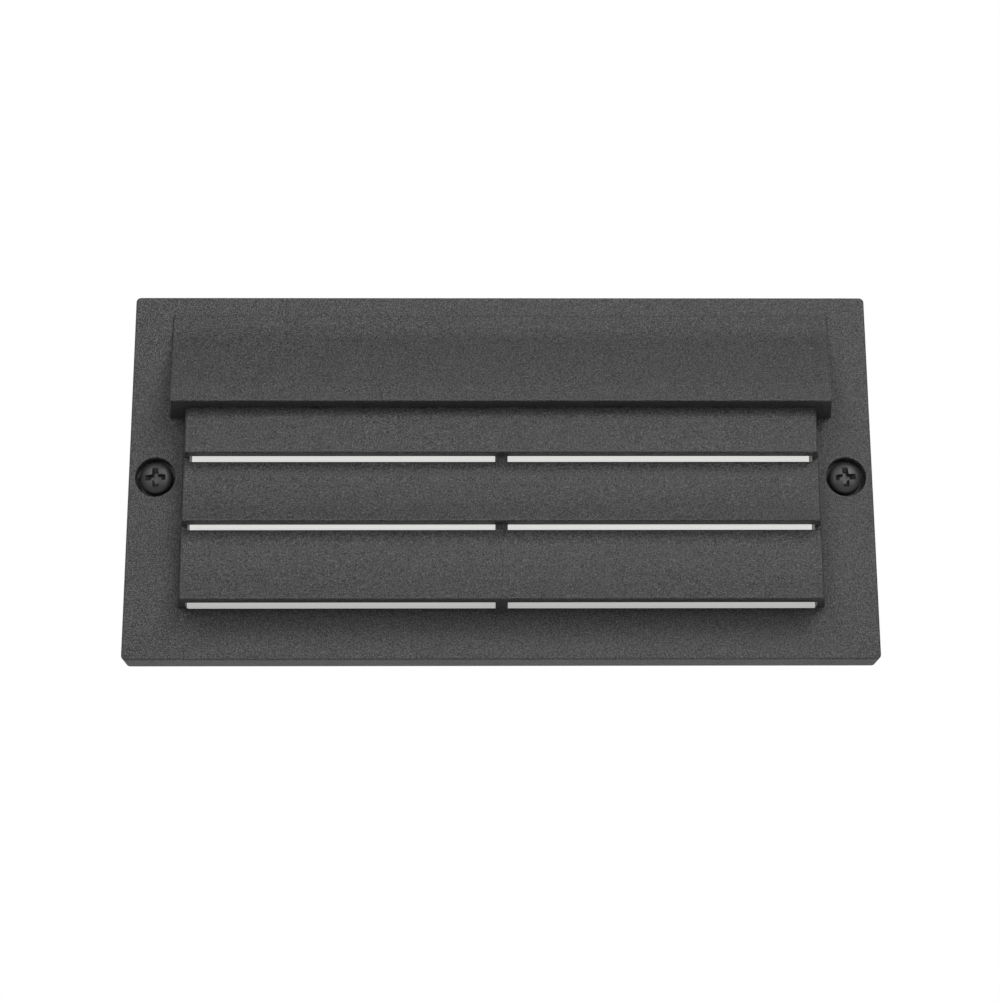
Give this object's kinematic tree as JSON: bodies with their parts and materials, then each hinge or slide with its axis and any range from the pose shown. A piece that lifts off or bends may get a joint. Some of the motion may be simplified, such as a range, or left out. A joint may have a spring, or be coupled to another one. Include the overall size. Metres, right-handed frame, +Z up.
{
  "type": "recessed louvred step light",
  "caption": "Recessed brick-size step light: a black die-cast faceplate with a hood and louvre blades, held by captive screws over a boxed lamp body.",
  "frame": {"origin": "centre of the wall-screw pattern on the box flange's back face, in the wall plane", "axes": "+X to the viewer's right along the faceplate, +Z up with the hood above, +Y into the wall; the louvres look along -Y"},
  "size_m": [0.2354, 0.0903, 0.1186],
  "materials": {
    "faceplate": "fine-texture matt black powder coat on a die casting",
    "lens": "opal diffusing polycarbonate sheet",
    "lens_gasket": "translucent silicone sheet",
    "lens_clips": "stainless spring steel strip",
    "lens_clip_screws": "stainless steel",
    "faceplate_gasket": "closed-cell black foam rubber",
    "screw_retainers": "natural nylon",
    "left_screw": "black powder coat over stainless steel",
    "left_screw_washer": "black rubber",
    "right_screw": "black powder coat over stainless steel",
    "right_screw_washer": "black rubber",
    "housing": "matt black powder coat on a die casting",
    "entry_plugs": "matt black powder coat on die-cast zinc",
    "plug_seals": "black rubber",
    "bracket": "mill-finish sheet",
    "bracket_screws": "zinc-plated steel",
    "thermal_pad": "grey-blue silicone gap pad",
    "light_board": "white solder mask on a metal-core board",
    "emitters": "yellow phosphor packages",
    "reflector": "white moulded reflector",
    "board_screws": "zinc-plated steel",
    "board_connector": "white nylon",
    "driver": "white moulded case",
    "driver_screws": "zinc-plated steel",
    "lead_grommet": "black rubber",
    "output_lead_positive": "red insulation",
    "output_lead_negative": "black insulation",
    "line_lead": "black insulation",
    "neutral_lead": "white insulation",
    "ground_lead": "green insulation",
    "wire_nuts": "orange moulded shell",
    "ring_terminal": "tin-plated copper",
    "ground_screw": "green-dyed plated steel"
  },
  "bodies": {
    "housing": {"housing": "housing", "entry_plugs": "entry_plugs", "plug_seals": "plug_seals", "bracket": "bracket", "bracket_screws": "bracket_screws", "thermal_pad": "thermal_pad", "light_board": "light_board", "emitters": "emitters", "reflector": "reflector", "board_screws": "board_screws", "board_connector": "board_connector", "driver": "driver", "driver_screws": "driver_screws", "lead_grommet": "lead_grommet", "output_lead_positive": "output_lead_positive", "output_lead_negative": "output_lead_negative", "line_lead": "line_lead", "neutral_lead": "neutral_lead", "ground_lead": "ground_lead", "wire_nuts": "wire_nuts", "ring_terminal": "ring_terminal", "ground_screw": "ground_screw"},
    "faceplate": {"faceplate": "faceplate", "lens": "lens", "lens_gasket": "lens_gasket", "lens_clips": "lens_clips", "lens_clip_screws": "lens_clip_screws", "faceplate_gasket": "faceplate_gasket", "screw_retainers": "screw_retainers"},
    "left_screw_washer": {"left_screw_washer": "left_screw_washer"},
    "left_screw": {"left_screw": "left_screw"},
    "right_screw_washer": {"right_screw_washer": "right_screw_washer"},
    "right_screw": {"right_screw": "right_screw"}
  },
  "joints": [
    {"name": "faceplate_off", "type": "slide", "parent": "housing", "child": "faceplate", "axis": [0, -1, 0], "range_m": [0, 0.06]},
    {"name": "left_screw_travel", "type": "slide", "parent": "faceplate", "child": "left_screw_washer", "axis": [0, -1, 0], "range_m": [0, 0.0104]},
    {"name": "left_screw_turn", "type": "hinge", "parent": "left_screw_washer", "child": "left_screw", "pos_m": [-0.1091, 0, -0.0008], "axis": [0, -1, 0], "range_deg": [0, 4680]},
    {"name": "right_screw_travel", "type": "slide", "parent": "faceplate", "child": "right_screw_washer", "axis": [0, -1, 0], "range_m": [0, 0.0104]},
    {"name": "right_screw_turn", "type": "hinge", "parent": "right_screw_washer", "child": "right_screw", "pos_m": [0.1091, 0, -0.0008], "axis": [0, -1, 0], "range_deg": [0, 4680]}
  ],
  "couplings": [
    {"joint": "left_screw_turn", "follows": "left_screw_travel", "rad_per_m": 7854},
    {"joint": "right_screw_turn", "follows": "right_screw_travel", "rad_per_m": 7854}
  ]
}
